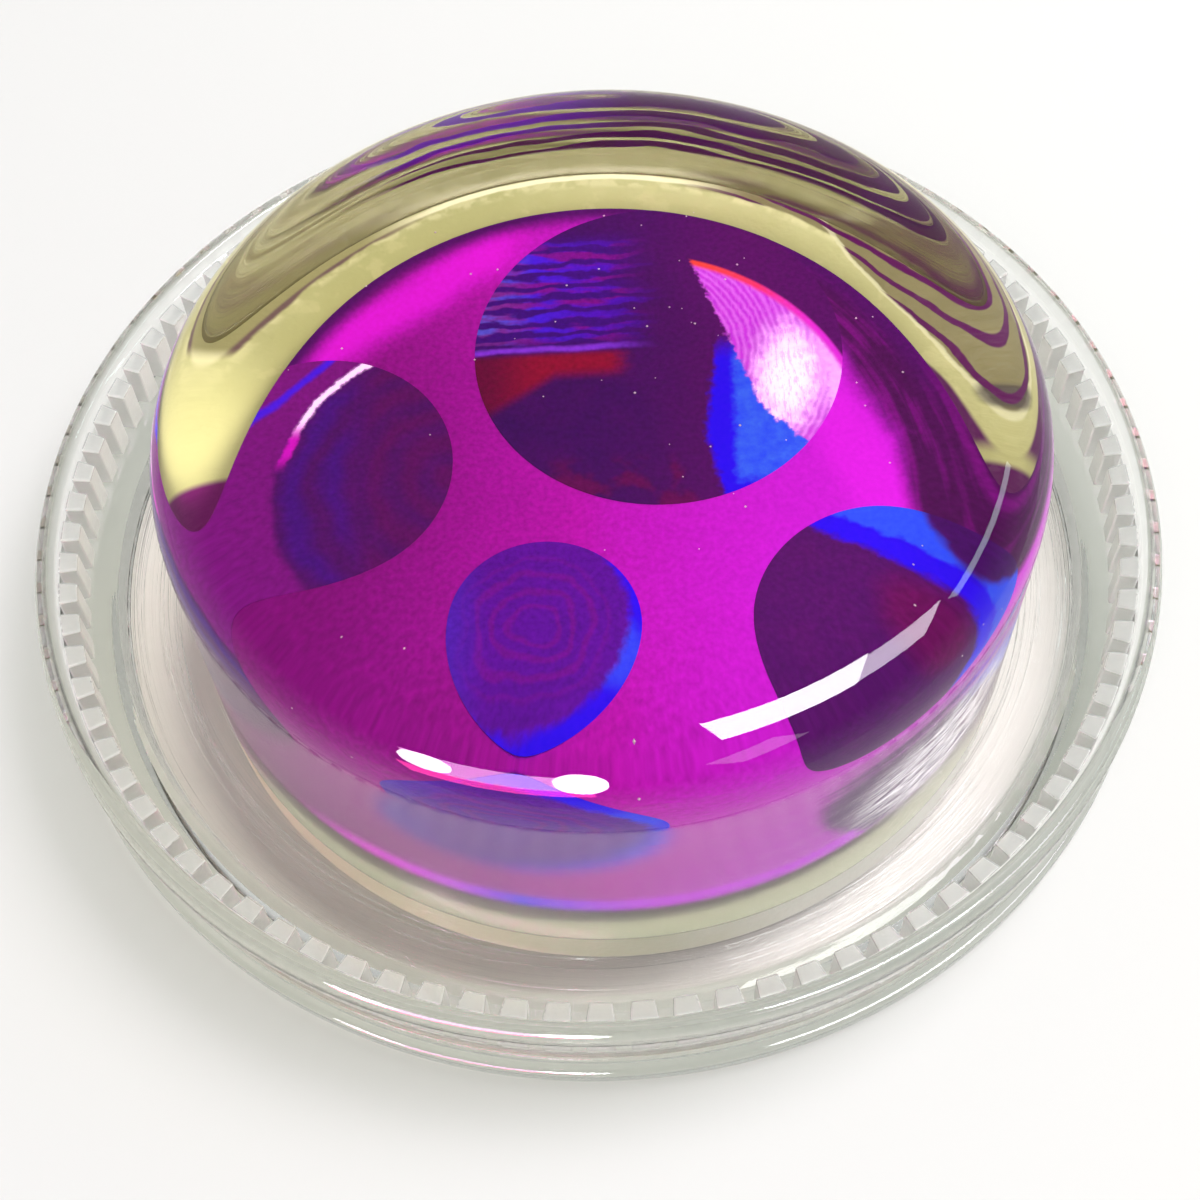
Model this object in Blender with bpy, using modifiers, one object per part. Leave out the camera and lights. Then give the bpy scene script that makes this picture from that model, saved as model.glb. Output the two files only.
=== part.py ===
"""A clear cast puck with a magenta foil disc inside it, loose in a shallow clear moulded dish.

Metres, +Z up. The origin is the middle of the dish's foot, on the surface that it stands on.
The puck stands a little off the dish's centre and lifts straight out of it.
"""

import math

import bmesh
import bpy
from mathutils import Vector

MM = 0.001
GAP = 0.3 * MM  # left between pieces that touch
MERGE = 0.00001
COLLECTION = "foil_puck_in_dish"

# The dish: radii, and heights above the surface it stands on.
DISH_RADIUS = 35.0 * MM
DISH_HEIGHT = 7.1 * MM
DISH_STEPS = 90
FOOT_INNER_RADIUS = 32.0 * MM
FOOT_HEIGHT = 1.2 * MM
FOOT_EDGE = 0.4 * MM  # round on the foot's outer edge
WAIST_RADIUS = 34.4 * MM  # the wall between the foot and the rim bead
BEAD_HEIGHT = 1.5 * MM  # how far the rim bead reaches down the outside
RIM_INNER_RADIUS = 33.7 * MM
UNDERSIDE = 0.4 * MM  # how far the floor's underside stands above the foot
SHELF_HEIGHT = 2.8 * MM
SHELF_INNER_RADIUS = 31.0 * MM
FLOOR_RADIUS = 30.4 * MM
FLOOR_HEIGHT = 1.2 * MM
LINE_RADIUS = 28.3 * MM  # the shallow step in the floor
LINE_DEPTH = 0.1 * MM

# The ring of grip teeth inside the rim.
TOOTH_COUNT = 90
TOOTH_TIP_RADIUS = 32.5 * MM
TOOTH_ROOT_RADIUS = 33.5 * MM
TOOTH_BACK_RADIUS = 34.0 * MM
TOOTH_TOP = 6.4 * MM
TOOTH_BOTTOM = 2.5 * MM
TOOTH_SHARE = 0.62  # of the pitch

# The puck, from the dish's floor up.
PUCK_X = 0.5 * MM
PUCK_Y = -3.3 * MM
PUCK_RADIUS = 25.1 * MM
PUCK_TOP = 22.8 * MM
PUCK_STEPS = 84
EDGE_ACROSS = 9.0 * MM  # the top edge is rounded this far in from the wall
EDGE_DOWN = 4.4 * MM  # and this far down from the top
EDGE_FULLNESS = 2.8  # 2 would be a plain quarter ellipse; more is fuller at the shoulder
EDGE_STEPS = 12
BASE_EDGE = 0.5 * MM  # round on the bottom edge
BASE_BOTTOM = FLOOR_HEIGHT + GAP
BASE_TOP = 5.35 * MM
FOIL_BOTTOM = BASE_TOP + GAP
FOIL_THICKNESS = 0.3 * MM
FOIL_TOP = FOIL_BOTTOM + FOIL_THICKNESS
FOIL_RADIUS = 21.3 * MM
FOIL_STEPS = 72

# The round dots in the foil: centre from the puck's axis, and radius.
DOTS = {
    "holo_dot_large": (3.9 * MM, 9.6 * MM, 11.3 * MM),
    "holo_dot_left": (-16.7 * MM, 2.2 * MM, 7.9 * MM),
    "holo_dot_small": (-3.7 * MM, -9.3 * MM, 5.5 * MM),
    "holo_dot_right": (15.8 * MM, -10.4 * MM, 7.8 * MM),
}

CLEAR_PLASTIC = ((0.90, 0.92, 0.88, 1.0), 0.08, 0.0, 0.95)
CAST_RESIN = ((0.93, 0.92, 0.70, 1.0), 0.03, 0.0, 0.95)
MILKY_RESIN = ((0.78, 0.77, 0.60, 1.0), 0.2, 0.0, 0.15)
MAGENTA_FOIL = ((0.62, 0.03, 0.55, 1.0), 0.25, 0.9, 0.0)
HOLO_PURPLE = ((0.12, 0.02, 0.30, 1.0), 0.2, 0.9, 0.0)


def clear_scene():
    """Remove every object that the startup file holds."""
    for item in list(bpy.data.objects):
        bpy.data.objects.remove(item, do_unlink=True)


def make_collection(name):
    """A new collection in the scene."""
    group = bpy.data.collections.new(name)
    bpy.context.scene.collection.children.link(group)
    return group


def make_material(name, finish):
    """A Principled material from a colour, roughness, metallic and transmission value."""
    colour, roughness, metallic, transmission = finish
    material = bpy.data.materials.new(name)
    material.use_nodes = True
    shader = material.node_tree.nodes["Principled BSDF"]
    shader.inputs["Base Color"].default_value = colour
    shader.inputs["Roughness"].default_value = roughness
    shader.inputs["Metallic"].default_value = metallic
    shader.inputs["Transmission Weight"].default_value = transmission
    material.diffuse_color = colour
    return material


def add_object(name, mesh, group, material=None):
    """An object for a mesh, in a collection."""
    item = bpy.data.objects.new(name, mesh)
    group.objects.link(item)
    if material:
        mesh.materials.append(material)
    return item


def make_cutter(item):
    """Hide an object that only shapes another."""
    item.hide_render = True
    item.display_type = "WIRE"
    return item


def arc(radius, height, size, start, end, count):
    """Points (radius, height) along an arc of a profile; angles in degrees from the outward direction."""
    points = []
    for index in range(count + 1):
        angle = math.radians(start + (end - start) * index / count)
        points.append((radius + size * math.cos(angle), height + size * math.sin(angle)))
    return points


def turned(name, profile, steps, group, material):
    """A solid turned about Z from a profile that runs from the axis, down the outside, and back to it."""
    mesh = bpy.data.meshes.new(name)
    points = [(radius, 0.0, height) for radius, height in profile]
    edges = [(index, index + 1) for index in range(len(points) - 1)]
    mesh.from_pydata(points, edges, [])
    item = add_object(name, mesh, group, material)
    screw = item.modifiers.new("turn", "SCREW")
    screw.axis = "Z"
    screw.angle = math.tau
    screw.steps = steps
    screw.render_steps = steps
    screw.use_merge_vertices = True
    screw.merge_threshold = MERGE
    screw.use_smooth_shade = True
    return item


def round_plate(name, radius, bottom, top, steps, group, material=None):
    """A flat round plate about its own Z axis."""
    mesh = bpy.data.meshes.new(name)
    shape = bmesh.new()
    bmesh.ops.create_cone(
        shape, cap_ends=True, segments=steps, radius1=radius, radius2=radius, depth=top - bottom
    )
    bmesh.ops.translate(shape, verts=shape.verts, vec=(0.0, 0.0, (top + bottom) / 2))
    shape.to_mesh(mesh)
    shape.free()
    return add_object(name, mesh, group, material)


def boolean(item, other, operation):
    """Add an exact Boolean modifier."""
    modifier = item.modifiers.new(operation.lower(), "BOOLEAN")
    modifier.operation = operation
    modifier.solver = "EXACT"
    modifier.object = other


def dish_profile():
    """The dish's section, from the middle of its floor out to the rim and back under to the axis."""
    rim_round = (DISH_RADIUS - RIM_INNER_RADIUS) / 2
    rim_middle = DISH_RADIUS - rim_round
    rim_centre = DISH_HEIGHT - rim_round
    bead_bottom = DISH_HEIGHT - BEAD_HEIGHT
    return (
        [(0.0, FLOOR_HEIGHT - LINE_DEPTH), (LINE_RADIUS, FLOOR_HEIGHT - LINE_DEPTH)]
        + [(LINE_RADIUS + LINE_DEPTH, FLOOR_HEIGHT), (FLOOR_RADIUS, FLOOR_HEIGHT)]
        + [(SHELF_INNER_RADIUS, SHELF_HEIGHT), (RIM_INNER_RADIUS, SHELF_HEIGHT)]
        + arc(rim_middle, rim_centre, rim_round, 180.0, 0.0, 6)
        + [(DISH_RADIUS, bead_bottom + LINE_DEPTH), (WAIST_RADIUS, bead_bottom - FOOT_EDGE)]
        + [(WAIST_RADIUS, FOOT_HEIGHT + FOOT_EDGE)]
        + arc(DISH_RADIUS - FOOT_EDGE, FOOT_HEIGHT - FOOT_EDGE, FOOT_EDGE, 90.0, 0.0, 2)
        + [(DISH_RADIUS, FOOT_EDGE / 2), (DISH_RADIUS - FOOT_EDGE / 2, 0.0)]
        + [(FOOT_INNER_RADIUS, 0.0), (FOOT_INNER_RADIUS - UNDERSIDE, UNDERSIDE), (0.0, UNDERSIDE)]
    )


def tooth_ring(group):
    """A ring with teeth on its inside, as a flat outline that is extruded."""
    outline = bpy.data.curves.new("tooth_ring_outline", "CURVE")
    outline.dimensions = "2D"
    outline.fill_mode = "BOTH"
    outline.extrude = (TOOTH_TOP - TOOTH_BOTTOM) / 2
    pitch = math.tau / TOOTH_COUNT
    inner = []
    outer = []
    for index in range(TOOTH_COUNT):
        middle = index * pitch
        half = pitch * TOOTH_SHARE / 2
        inner.append((TOOTH_ROOT_RADIUS, middle - half))
        inner.append((TOOTH_TIP_RADIUS, middle - half * 0.8))
        inner.append((TOOTH_TIP_RADIUS, middle + half * 0.8))
        inner.append((TOOTH_ROOT_RADIUS, middle + half))
        outer.append((TOOTH_BACK_RADIUS, middle + pitch / 2))
    for points in (outer, inner):
        spline = outline.splines.new("POLY")
        spline.points.add(len(points) - 1)
        for point, (radius, angle) in zip(spline.points, points):
            point.co = (radius * math.cos(angle), radius * math.sin(angle), 0.0, 1.0)
        spline.use_cyclic_u = True
    curve = bpy.data.objects.new("tooth_ring_curve", outline)
    group.objects.link(curve)
    curve.location.z = (TOOTH_TOP + TOOTH_BOTTOM) / 2
    bpy.context.view_layer.update()
    evaluated = curve.evaluated_get(bpy.context.evaluated_depsgraph_get())
    mesh = bpy.data.meshes.new_from_object(evaluated)
    shape = bmesh.new()
    shape.from_mesh(mesh)
    bmesh.ops.remove_doubles(shape, verts=shape.verts, dist=MERGE)
    shape.to_mesh(mesh)
    shape.free()
    ring = add_object("tooth_ring", mesh, group)
    ring.matrix_world = curve.matrix_world
    bpy.data.objects.remove(curve, do_unlink=True)
    return make_cutter(ring)


def make_dish(parts, cutters):
    """The moulded dish with its ring of teeth, one piece."""
    material = make_material("dish_clear_plastic", CLEAR_PLASTIC)
    dish = turned("dish", dish_profile(), DISH_STEPS, parts, material)
    boolean(dish, tooth_ring(cutters), "UNION")
    return dish


def make_top_cast(parts):
    """The thick upper pour, with a broad domed edge and a shallow pocket below for the foil."""
    pocket = FOIL_TOP + GAP
    edge = []
    for index in range(EDGE_STEPS + 1):
        angle = math.pi / 2 * index / EDGE_STEPS
        across = math.sin(angle) ** (2 / EDGE_FULLNESS)
        down = math.cos(angle) ** (2 / EDGE_FULLNESS) if index < EDGE_STEPS else 0.0
        edge.append((
            PUCK_RADIUS - EDGE_ACROSS * (1.0 - across),
            PUCK_TOP - EDGE_DOWN * (1.0 - down),
        ))
    profile = (
        [(0.0, PUCK_TOP)]
        + edge
        + [(PUCK_RADIUS, BASE_TOP + GAP), (FOIL_RADIUS + GAP, BASE_TOP + GAP)]
        + [(FOIL_RADIUS + GAP, pocket), (0.0, pocket)]
    )
    material = make_material("cast_resin_top", CAST_RESIN)
    return turned("top_cast", profile, PUCK_STEPS, parts, material)


def make_base_cast(parts):
    """The thin milky lower pour that the foil lies on."""
    profile = (
        [(0.0, BASE_TOP), (PUCK_RADIUS, BASE_TOP)]
        + arc(PUCK_RADIUS - BASE_EDGE, BASE_BOTTOM + BASE_EDGE, BASE_EDGE, 0.0, -90.0, 2)
        + [(0.0, BASE_BOTTOM)]
    )
    material = make_material("base_resin", MILKY_RESIN)
    return turned("base_cast", profile, PUCK_STEPS, parts, material)


def make_foil(parts, cutters):
    """The foil disc with its round windows, and the dots that fill them."""
    foil = round_plate(
        "foil_disc", FOIL_RADIUS, FOIL_BOTTOM, FOIL_TOP, FOIL_STEPS, parts,
        make_material("magenta_foil", MAGENTA_FOIL),
    )
    outline = make_cutter(
        round_plate("foil_outline", FOIL_RADIUS, 0.0, PUCK_TOP, FOIL_STEPS, cutters)
    )
    holo = make_material("holographic_dot", HOLO_PURPLE)
    pieces = [foil, outline]
    for name, (x, y, radius) in DOTS.items():
        dot = round_plate(
            name, radius - GAP / 2, FOIL_BOTTOM, FOIL_TOP, FOIL_STEPS, parts, holo
        )
        window = make_cutter(
            round_plate(name + "_window", radius + GAP / 2, 0.0, PUCK_TOP, FOIL_STEPS, cutters)
        )
        dot.location = (x, y, 0.0)
        window.location = (x, y, 0.0)
        boolean(dot, outline, "INTERSECT")
        boolean(foil, window, "DIFFERENCE")
        pieces += [dot, window]
    return pieces


def main():
    clear_scene()
    parts = make_collection(COLLECTION)
    cutters = make_collection("cutters")
    make_dish(parts, cutters)
    lift = bpy.data.objects.new("puck_lift_axis", None)
    parts.objects.link(lift)
    lift.location = Vector((PUCK_X, PUCK_Y, 0.0))
    for piece in [make_top_cast(parts), make_base_cast(parts)] + make_foil(parts, cutters):
        piece.parent = lift
    for item in parts.objects:
        if item.type == "MESH" and not item.modifiers:
            item.data.set_sharp_from_angle(angle=math.radians(40.0))


main()
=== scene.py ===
import math
import random

import bpy
from mathutils import Matrix, Vector


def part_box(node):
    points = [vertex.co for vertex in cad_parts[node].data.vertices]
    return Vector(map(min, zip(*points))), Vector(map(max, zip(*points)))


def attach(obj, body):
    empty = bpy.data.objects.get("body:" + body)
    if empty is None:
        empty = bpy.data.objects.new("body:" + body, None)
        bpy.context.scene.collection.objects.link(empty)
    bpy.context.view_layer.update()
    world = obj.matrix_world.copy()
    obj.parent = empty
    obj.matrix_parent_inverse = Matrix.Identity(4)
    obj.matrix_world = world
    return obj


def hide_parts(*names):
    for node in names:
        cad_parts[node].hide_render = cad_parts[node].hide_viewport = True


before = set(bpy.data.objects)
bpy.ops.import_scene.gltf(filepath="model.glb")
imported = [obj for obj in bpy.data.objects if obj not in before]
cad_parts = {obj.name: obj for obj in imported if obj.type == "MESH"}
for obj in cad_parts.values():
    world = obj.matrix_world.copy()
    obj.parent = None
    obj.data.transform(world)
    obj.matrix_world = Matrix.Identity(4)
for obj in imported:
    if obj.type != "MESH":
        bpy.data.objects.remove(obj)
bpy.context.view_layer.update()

MM = 0.001
SEED = 7


# ---------------------------------------------------------------- sizes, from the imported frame
def node_box(name):
    """Lowest and highest corner of a CAD node as two vectors."""
    low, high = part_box(name)
    return Vector(low), Vector(high)


dish_low, dish_high = node_box("dish")
cast_low, cast_high = node_box("top_cast")
base_low = node_box("base_cast")[0]
foil_high = node_box("foil_disc")[1]

DISH_RADIUS = (dish_high.x - dish_low.x) / 2
DISH_HEIGHT = dish_high.z
PUCK_RADIUS = (cast_high.x - cast_low.x) / 2
PUCK_CENTRE = Vector(((cast_high.x + cast_low.x) / 2, (cast_high.y + cast_low.y) / 2, 0.0))
PUCK_TOP = cast_high.z
PUCK_BOTTOM = base_low.z
FOIL_RADIUS = 21.3 * MM
FOIL_Z = foil_high.z

# The section of the dish, as part.py has it.
WAIST_RADIUS = 34.4 * MM
RIM_INNER_RADIUS = 33.7 * MM
BEAD_HEIGHT = 1.5 * MM
SHELF_HEIGHT = 2.8 * MM
SHELF_INNER_RADIUS = 31.0 * MM
FLOOR_RADIUS = 30.4 * MM
FLOOR_HEIGHT = 1.2 * MM
LINE_RADIUS = 28.3 * MM
FOOT_HEIGHT = 1.2 * MM
FOOT_INNER_RADIUS = 32.0 * MM
UNDERSIDE = 0.4 * MM
TOOTH_COUNT = 90
TOOTH_TIP_RADIUS = 32.5 * MM
TOOTH_TOP = 6.4 * MM

# The section of the puck: its rounded top edge, and the milky base layer below the clear resin.
EDGE_ACROSS = 9.0 * MM
EDGE_DOWN = 4.4 * MM
EDGE_FULLNESS = 2.8
BASE_EDGE = 0.5 * MM
BASE_LEVEL = 4.6 * MM
LAYER_GAP = 0.02 * MM

# Heights and radii that the paint on the puck goes by, in millimetres as Nodes.flat gives them.
WALL_TOP = 18.6
STREAKS_LOW = 8.4
STREAKS_HIGH = 15.0
CREAM_OUTER = 22.9
LINE_INNER = 24.55
LINE_OUTER = 24.95

# The dots: centre from the puck's axis, and radius, in millimetres.
DOTS = {
    "holo_dot_large": (3.9, 9.6, 11.3),
    "holo_dot_left": (-16.7, 2.2, 7.9),
    "holo_dot_small": (-3.7, -9.3, 5.5),
    "holo_dot_right": (15.8, -10.4, 7.8),
}
SPECK_COUNT = 60
FLOOR_HALF = 0.9


def rgb(red, green, blue):
    """A screen colour of 0 to 255 as the linear values that shaders take."""
    out = []
    for value in (red, green, blue):
        share = value / 255
        out.append(share / 12.92 if share <= 0.04045 else ((share + 0.055) / 1.055) ** 2.4)
    return tuple(out)


# ---------------------------------------------------------------- mesh helpers
def new_object(name, verts, faces, smooth=True):
    """A mesh object in the scene from vertices and faces."""
    mesh = bpy.data.meshes.new(name)
    mesh.from_pydata([tuple(v) for v in verts], [], faces)
    mesh.validate()
    mesh.update()
    if smooth:
        mesh.shade_smooth()
    item = bpy.data.objects.new(name, mesh)
    bpy.context.scene.collection.objects.link(item)
    return item


def arc(radius, height, size, start, end, count):
    """Points along an arc of a section; angles in degrees from the outward direction."""
    out = []
    for index in range(count + 1):
        angle = math.radians(start + (end - start) * index / count)
        out.append((radius + size * math.cos(angle), height + size * math.sin(angle)))
    return out


def straight(start, end, count):
    """Points from start to end of a section, without the end."""
    out = []
    for index in range(count):
        share = index / count
        out.append((start[0] + (end[0] - start[0]) * share, start[1] + (end[1] - start[1]) * share))
    return out


def lathe(name, profile, steps, centre=(0.0, 0.0), shift=None):
    """A closed solid turned about Z from a section that starts and ends on the axis.

    shift(angle, radius, height) gives how far a point moves outward and upward.
    """
    ring = profile[1:-1]
    verts = [(centre[0], centre[1], profile[0][1]), (centre[0], centre[1], profile[-1][1])]
    for radius, height in ring:
        for step in range(steps):
            angle = math.tau * step / steps
            out, up = shift(angle, radius, height) if shift else (0.0, 0.0)
            verts.append((
                centre[0] + (radius + out) * math.cos(angle),
                centre[1] + (radius + out) * math.sin(angle),
                height + up,
            ))
    faces = []
    last = len(ring) - 1
    for step in range(steps):
        follow = (step + 1) % steps
        faces.append((0, 2 + step, 2 + follow))
        for row in range(last):
            a = 2 + row * steps
            b = a + steps
            faces.append((a + step, b + step, b + follow, a + follow))
        end = 2 + last * steps
        faces.append((end + step, 1, end + follow))
    return new_object(name, verts, faces)


# ---------------------------------------------------------------- material helpers
class Nodes:
    """Short calls for building one material's node tree."""

    def __init__(self, name):
        self.material = bpy.data.materials.new(name)
        self.material.use_nodes = True
        self.tree = self.material.node_tree
        self.tree.nodes.clear()
        self.output = self.tree.nodes.new("ShaderNodeOutputMaterial")

    def node(self, kind, **values):
        item = self.tree.nodes.new(kind)
        for key, value in values.items():
            setattr(item, key, value)
        return item

    def put(self, socket, value):
        if value is None:
            return
        if isinstance(value, bpy.types.NodeSocket):
            self.tree.links.new(value, socket)
        elif isinstance(value, (tuple, list)) and len(value) == 3 and socket.type == "RGBA":
            socket.default_value = (*value, 1.0)
        else:
            socket.default_value = value

    def place(self):
        """The point in the object's own space, in metres."""
        return self.node("ShaderNodeTexCoord").outputs["Object"]

    def flat(self):
        """The point in millimetres from the puck's axis, as x, y and z."""
        mapping = self.node("ShaderNodeMapping", vector_type="POINT")
        self.put(mapping.inputs["Vector"], self.place())
        mapping.inputs["Location"].default_value = (-PUCK_CENTRE.x / MM, -PUCK_CENTRE.y / MM, 0.0)
        mapping.inputs["Scale"].default_value = (1 / MM, 1 / MM, 1 / MM)
        split = self.node("ShaderNodeSeparateXYZ")
        self.put(split.inputs[0], mapping.outputs[0])
        return split.outputs[0], split.outputs[1], split.outputs[2]

    def join(self, x, y, z=0.0):
        item = self.node("ShaderNodeCombineXYZ")
        self.put(item.inputs[0], x)
        self.put(item.inputs[1], y)
        self.put(item.inputs[2], z)
        return item.outputs[0]

    def math(self, operation, a, b=None, c=None, clamp=False):
        item = self.node("ShaderNodeMath", operation=operation, use_clamp=clamp)
        self.put(item.inputs[0], a)
        self.put(item.inputs[1], b)
        self.put(item.inputs[2], c)
        return item.outputs[0]

    def add(self, a, b):
        return self.math("ADD", a, b)

    def times(self, a, b):
        return self.math("MULTIPLY", a, b)

    def every(self, *masks):
        """Where all the masks are."""
        out = masks[0]
        for mask in masks[1:]:
            out = self.times(out, mask)
        return out

    def either(self, *masks):
        """Where any of the masks is."""
        out = masks[0]
        for mask in masks[1:]:
            out = self.math("MAXIMUM", out, mask)
        return out

    def away(self, mask):
        """Where the mask is not."""
        return self.math("SUBTRACT", 1.0, mask)

    def slope(self, x, y, a, b, c=0.0):
        """a times x, plus b times y, plus c."""
        return self.math("MULTIPLY_ADD", x, a, self.math("MULTIPLY_ADD", y, b, c))

    def reach(self, x, y, middle):
        """Distance from a middle point."""
        dx = self.math("SUBTRACT", x, middle[0])
        dy = self.math("SUBTRACT", y, middle[1])
        return self.math("SQRT", self.add(self.times(dx, dx), self.times(dy, dy)))

    def smooth(self, value, low, high, out_low=0.0, out_high=1.0):
        item = self.node("ShaderNodeMapRange", interpolation_type="SMOOTHSTEP")
        self.put(item.inputs["Value"], value)
        self.put(item.inputs["From Min"], low)
        self.put(item.inputs["From Max"], high)
        self.put(item.inputs["To Min"], out_low)
        self.put(item.inputs["To Max"], out_high)
        return item.outputs["Result"]

    def above(self, value, edge, soft):
        return self.smooth(value, edge - soft, edge + soft)

    def below(self, value, edge, soft):
        return self.smooth(value, edge - soft, edge + soft, 1.0, 0.0)

    def between(self, value, low, high, soft):
        return self.times(self.above(value, low, soft), self.below(value, high, soft))

    def noise(self, vector, scale, detail=3.0, roughness=0.5, distortion=0.0):
        item = self.node("ShaderNodeTexNoise")
        self.put(item.inputs["Vector"], vector)
        self.put(item.inputs["Scale"], scale)
        self.put(item.inputs["Detail"], detail)
        self.put(item.inputs["Roughness"], roughness)
        self.put(item.inputs["Distortion"], distortion)
        return item.outputs["Fac"]

    def wander(self, value, vector, scale, amount, detail=3.0):
        """The value, moved up and down by noise."""
        drift = self.math("SUBTRACT", self.noise(vector, scale, detail), 0.5)
        return self.math("MULTIPLY_ADD", drift, amount, value)

    def waves(self, value, period):
        """A smooth wave of 0 to 1 along a value."""
        turned = self.math("SINE", self.times(value, math.tau / period))
        return self.math("MULTIPLY_ADD", turned, 0.5, 0.5)

    def ramp(self, value, stops):
        item = self.node("ShaderNodeValToRGB")
        self.put(item.inputs["Fac"], value)
        line = item.color_ramp
        while len(line.elements) < len(stops):
            line.elements.new(0.5)
        for element, (position, colour) in zip(line.elements, stops):
            element.position = position
            element.color = (*colour, 1.0)
        return item.outputs["Color"]

    def mix(self, factor, a, b, blend="MIX"):
        item = self.node("ShaderNodeMix", data_type="RGBA", blend_type=blend)
        self.put(item.inputs[0], factor)
        self.put(item.inputs[6], a)
        self.put(item.inputs[7], b)
        return item.outputs[2]

    def layers(self, colour, *coats):
        """A colour with others laid over it, each as (mask, colour)."""
        for mask, coat in coats:
            colour = self.mix(mask, colour, coat)
        return colour

    def bump(self, height, distance, strength=1.0, normal=None):
        item = self.node("ShaderNodeBump")
        self.put(item.inputs["Height"], height)
        self.put(item.inputs["Distance"], distance)
        self.put(item.inputs["Strength"], strength)
        self.put(item.inputs["Normal"], normal)
        return item.outputs["Normal"]

    def principled(self, **values):
        item = self.node("ShaderNodeBsdfPrincipled")
        for key, value in values.items():
            self.put(item.inputs[key.replace("_", " ")], value)
        return item.outputs["BSDF"]

    def light_passes(self, shader, tint):
        """The shader, except that light from lamps and off matt things passes straight through it."""
        path = self.node("ShaderNodeLightPath")
        clear = self.node("ShaderNodeBsdfTransparent")
        self.put(clear.inputs["Color"], tint)
        mixed = self.node("ShaderNodeMixShader")
        self.put(mixed.inputs[0], self.either(path.outputs["Is Shadow Ray"], path.outputs["Is Diffuse Ray"]))
        self.put(mixed.inputs[1], shader)
        self.put(mixed.inputs[2], clear.outputs[0])
        return mixed.outputs[0]

    def finish(self, shader, volume=None):
        self.put(self.output.inputs["Surface"], shader)
        if volume:
            self.put(self.output.inputs["Volume"], volume)
        return self.material


def dress(item, material, slot, body, *replaced):
    """Give a piece its material and its body, and hide the CAD nodes it stands for; slot is not used."""
    item.data.materials.clear()
    item.data.materials.append(material)
    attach(item, body)
    if replaced:
        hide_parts(*replaced)
    return item


# ---------------------------------------------------------------- materials
def streaks(n, x, y, along, period, share):
    """Where the wavy streaks are that follow the wall, as a painted reflection of the film; along is the
    height or radius that they stack in.

    period is the distance between streaks in millimetres, and share how much of it they fill, of 0 to 1.
    """
    turn = n.math("ARCTAN2", y, x)
    drift = n.noise(n.join(n.times(turn, 2.0), n.times(along, 0.15)), 1.0, 2.0, 0.5)
    fray = n.noise(n.join(n.times(turn, 7.0), n.times(along, 0.7)), 1.0, 3.0, 0.5)
    bent = n.add(n.math("MULTIPLY_ADD", drift, 2.4, along), n.times(fray, 0.5))
    return n.above(n.add(n.waves(bent, period), share), 1.0, 0.08)


def cast_material():
    """Clear resin with mould lines, a slightly matt front, a painted glare on the front right and a back
    painted hazy and streaked.

    The glare is a frosted patch that glows white. The back's hazy olive and its streaks are painted
    reflections: of the shaded base ring, and of the film, whose image in the back wall this shape doesn't
    send to the front.
    """
    n = Nodes("cast_resin")
    x, y, z = n.flat()
    on_wall = n.below(z, WALL_TOP, 0.3)
    front = n.every(on_wall, n.below(y, -8.0, 10.0))
    back = n.every(on_wall, n.above(y, -6.0, 5.0))
    lines = n.noise(n.join(0.0, 0.0, z), 4.0, 4.0, 0.7)
    fine = n.noise(n.join(n.times(x, 0.05), n.times(y, 0.05), z), 9.0, 3.0, 0.7)
    # A painted glare on the front right of the wall: a frosted patch that glows white in place of a bright
    # reflection.
    glare_at = n.reach(n.slope(x, y, 0.17, 0.10), n.times(z, 0.30), (1.15, 3.6))
    painted_glare = n.every(
        on_wall, n.below(y, -12.0, 2.0), n.above(x, 8.0, 3.0), n.below(glare_at, 1.1, 0.5),
        n.above(fine, 0.50, 0.12),
    )
    # The purple streaks on the back of the wall are a painted reflection of the film.
    share = n.add(n.smooth(x, -14.0, 8.0, 0.22, 0.72), n.smooth(x, 9.0, 19.0, 0.0, 0.16))
    reflection_streak = n.every(
        streaks(n, x, y, z, 1.25, share), n.between(z, STREAKS_LOW, STREAKS_HIGH, 0.3),
        n.above(y, 8.0, 3.0), n.above(x, -13.5, 2.5),
    )
    purple = n.mix(n.noise(n.place(), 260.0, 2.0), rgb(92, 0, 118), rgb(76, 2, 50))
    purple = n.mix(n.every(n.below(x, 0.0, 4.0), n.above(z, 11.0, 0.5)), purple, rgb(112, 20, 196))
    # The back of the wall is painted hazy olive, a painted reflection of the shaded base ring; the front is
    # lightly frosted.
    frost_and_reflection = n.either(n.times(back, 0.55), n.times(reflection_streak, 0.97))
    frost_and_reflection = n.add(frost_and_reflection, n.times(front, 0.10))
    dull = n.either(reflection_streak, n.times(back, 0.7))
    shader = n.principled(
        Base_Color=n.layers((1.0, 1.0, 1.0), (back, rgb(112, 105, 70)), (reflection_streak, purple)),
        Roughness=n.times(front, 0.17), IOR=1.5, Specular_IOR_Level=n.times(n.away(dull), 0.5),
        Transmission_Weight=n.math("SUBTRACT", 1.0, n.add(frost_and_reflection, n.times(painted_glare, 0.6))),
        Normal=n.bump(lines, 0.00002, on_wall),
        Emission_Color=(1.0, 0.95, 0.97), Emission_Strength=n.times(painted_glare, 0.55),
    )
    absorb = n.node("ShaderNodeVolumeAbsorption")
    n.put(absorb.inputs["Color"], (0.98, 0.80, 0.2))
    n.put(absorb.inputs["Density"], 8.0)
    return n.finish(n.light_passes(shader, (0.96, 0.96, 0.95)), absorb.outputs[0])


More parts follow.
